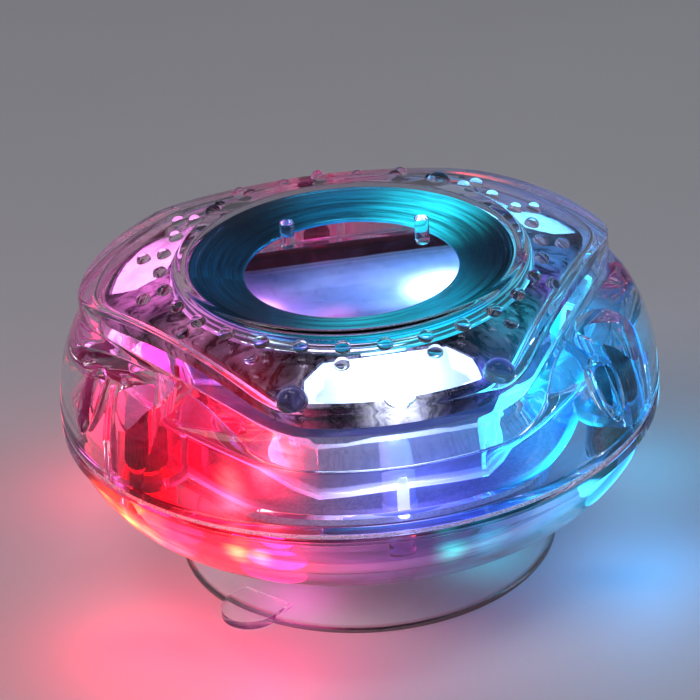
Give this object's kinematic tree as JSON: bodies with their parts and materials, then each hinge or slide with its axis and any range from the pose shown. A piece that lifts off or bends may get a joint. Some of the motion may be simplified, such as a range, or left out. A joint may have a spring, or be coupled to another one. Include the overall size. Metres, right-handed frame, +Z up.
{
  "type": "underwater pool light",
  "caption": "Clear disc-shaped underwater light with a three-lobed beaded deck, chrome reflector, colour LEDs inside and a suction cup below.",
  "frame": {"origin": "centre of the suction cup's rim, on the surface it sits on", "axes": "+Z up along the disc's axis, -Y towards the front lobe, +X to the right seen from the front"},
  "size_m": [0.09, 0.09, 0.0495],
  "materials": {
    "clear_shell": "clear, polished",
    "window_clear": "clear, polished",
    "light_guide": "clear, polished",
    "battery_tray": "clear, blue tint",
    "silicone": "matt, slightly clear",
    "clear_vinyl": "soft, clear",
    "chrome_dish": "vacuum-metallised, bright",
    "chrome_film": "vacuum-metallised, slightly streaked",
    "board": "grey-blue solder mask",
    "black_plastic": "satin",
    "red_wire": "satin",
    "cell_wrap": "printed film, plain",
    "spring_steel": "nickel plated",
    "brass": "plain",
    "dark_steel": "blackened",
    "led_white": "lit, blue-white",
    "led_cyan": "lit, cyan",
    "led_magenta": "lit, magenta",
    "led_red": "lit, red",
    "led_blue": "lit, blue"
  },
  "bodies": {
    "disc": {"lower_shell": "clear_shell", "upper_shell": "clear_shell", "seal_ring": "silicone", "mirror_dish": "chrome_dish", "dish_bezel": "chrome_dish", "reflector_plate": "chrome_film", "window_block_1": "window_clear", "window_block_2": "window_clear", "window_block_3": "window_clear", "light_guide": "light_guide", "battery_box": "battery_tray", "battery_lid": "battery_tray", "cell_1": "cell_wrap", "cell_2": "cell_wrap", "cell_3": "cell_wrap", "spring_contact_1": "spring_steel", "spring_contact_2": "spring_steel", "spring_contact_3": "spring_steel", "contact_plate_1": "spring_steel", "contact_plate_2": "spring_steel", "contact_plate_3": "spring_steel", "led_board": "board", "led_1": "led_white", "led_2": "led_cyan", "led_3": "led_magenta", "led_4": "led_magenta", "led_5": "led_red", "led_6": "led_blue", "driver_chip": "black_plastic", "tact_switch": "black_plastic", "wire_red": "red_wire", "wire_black": "black_plastic", "screw_insert_1": "brass", "screw_insert_2": "brass", "screw_insert_3": "brass", "boot_clamp": "clear_shell", "screw_1": "dark_steel", "screw_2": "dark_steel", "screw_3": "dark_steel", "cup_collar": "clear_shell", "button_boot": "silicone"},
    "button": {"button_cap": "black_plastic", "switch_plunger": "silicone"},
    "cup": {"suction_cup": "clear_vinyl"}
  },
  "joints": [
    {"name": "button_press", "type": "slide", "parent": "disc", "child": "button", "axis": [0, 0, 1], "range_m": [0, 0.0008], "stiffness_N_per_m": 800, "springref_m": -0.0006, "deforming": ["button_boot"]},
    {"name": "cup_swivel", "type": "hinge", "parent": "disc", "child": "cup", "pos_m": [0, 0, 0.008], "axis": [0, 0, 1], "continuous": true}
  ]
}
